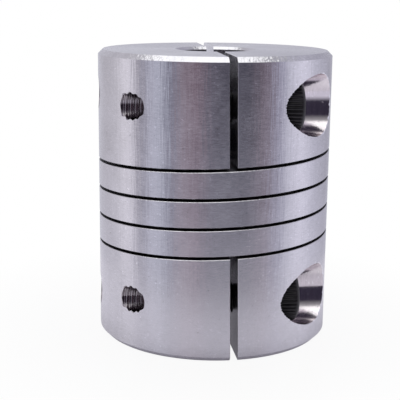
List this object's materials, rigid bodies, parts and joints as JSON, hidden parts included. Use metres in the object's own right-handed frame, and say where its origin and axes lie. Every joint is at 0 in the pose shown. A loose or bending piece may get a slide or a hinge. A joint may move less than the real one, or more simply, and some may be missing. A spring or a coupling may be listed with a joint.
{
  "type": "beam coupling",
  "caption": "Cylindrical flexible shaft coupling with a helical slot around its middle and a split clamping bore at each end.",
  "frame": {"origin": "centre of the lower end face, on the coupling's axis", "axes": "+Z along the coupling's axis towards the upper end; -Y towards the front slits; +X towards the heads of the front screws"},
  "size_m": [0.025, 0.025, 0.0307],
  "materials": {
    "body_aluminium": "fine turned, bare",
    "screw_steel": "black oxide"
  },
  "bodies": {
    "lower_hub": {"lower_hub": "body_aluminium"},
    "coil_1": {"coil_1": "body_aluminium"},
    "coil_2": {"coil_2": "body_aluminium"},
    "coil_3": {"coil_3": "body_aluminium"},
    "upper_hub": {"upper_hub": "body_aluminium"},
    "lower_front_screw": {"lower_front_screw": "screw_steel"},
    "lower_rear_screw": {"lower_rear_screw": "screw_steel"},
    "upper_front_screw": {"upper_front_screw": "screw_steel"},
    "upper_rear_screw": {"upper_rear_screw": "screw_steel"}
  },
  "joints": [
    {"name": "flex_1", "type": "hinge", "parent": "lower_hub", "child": "coil_1", "pos_m": [0, 0, 0.01203], "axis": [0.7071, 0.7071, 0], "range_deg": [-0.8, 0.8], "stiffness_Nm_per_rad": 2},
    {"name": "flex_2", "type": "hinge", "parent": "coil_1", "child": "coil_2", "pos_m": [0, 0, 0.01424], "axis": [0.7071, -0.7071, 0], "range_deg": [-0.8, 0.8], "stiffness_Nm_per_rad": 2},
    {"name": "flex_3", "type": "hinge", "parent": "coil_2", "child": "coil_3", "pos_m": [0, 0, 0.01646], "axis": [0.7071, 0.7071, 0], "range_deg": [-0.8, 0.8], "stiffness_Nm_per_rad": 2},
    {"name": "flex_4", "type": "hinge", "parent": "coil_3", "child": "upper_hub", "pos_m": [0, 0, 0.01867], "axis": [0.7071, -0.7071, 0], "range_deg": [-0.8, 0.8], "stiffness_Nm_per_rad": 2},
    {"name": "lower_front_turn", "type": "hinge", "parent": "lower_hub", "child": "lower_front_screw", "pos_m": [0.00466, -0.008, 0.00555], "axis": [-1, 0, 0], "range_deg": [-720, 0]},
    {"name": "lower_rear_turn", "type": "hinge", "parent": "lower_hub", "child": "lower_rear_screw", "pos_m": [-0.00466, 0.008, 0.00555], "axis": [1, 0, 0], "range_deg": [-720, 0]},
    {"name": "upper_front_turn", "type": "hinge", "parent": "upper_hub", "child": "upper_front_screw", "pos_m": [0.00466, -0.008, 0.02555], "axis": [-1, 0, 0], "range_deg": [-720, 0]},
    {"name": "upper_rear_turn", "type": "hinge", "parent": "upper_hub", "child": "upper_rear_screw", "pos_m": [-0.00466, 0.008, 0.02555], "axis": [1, 0, 0], "range_deg": [-720, 0]}
  ]
}
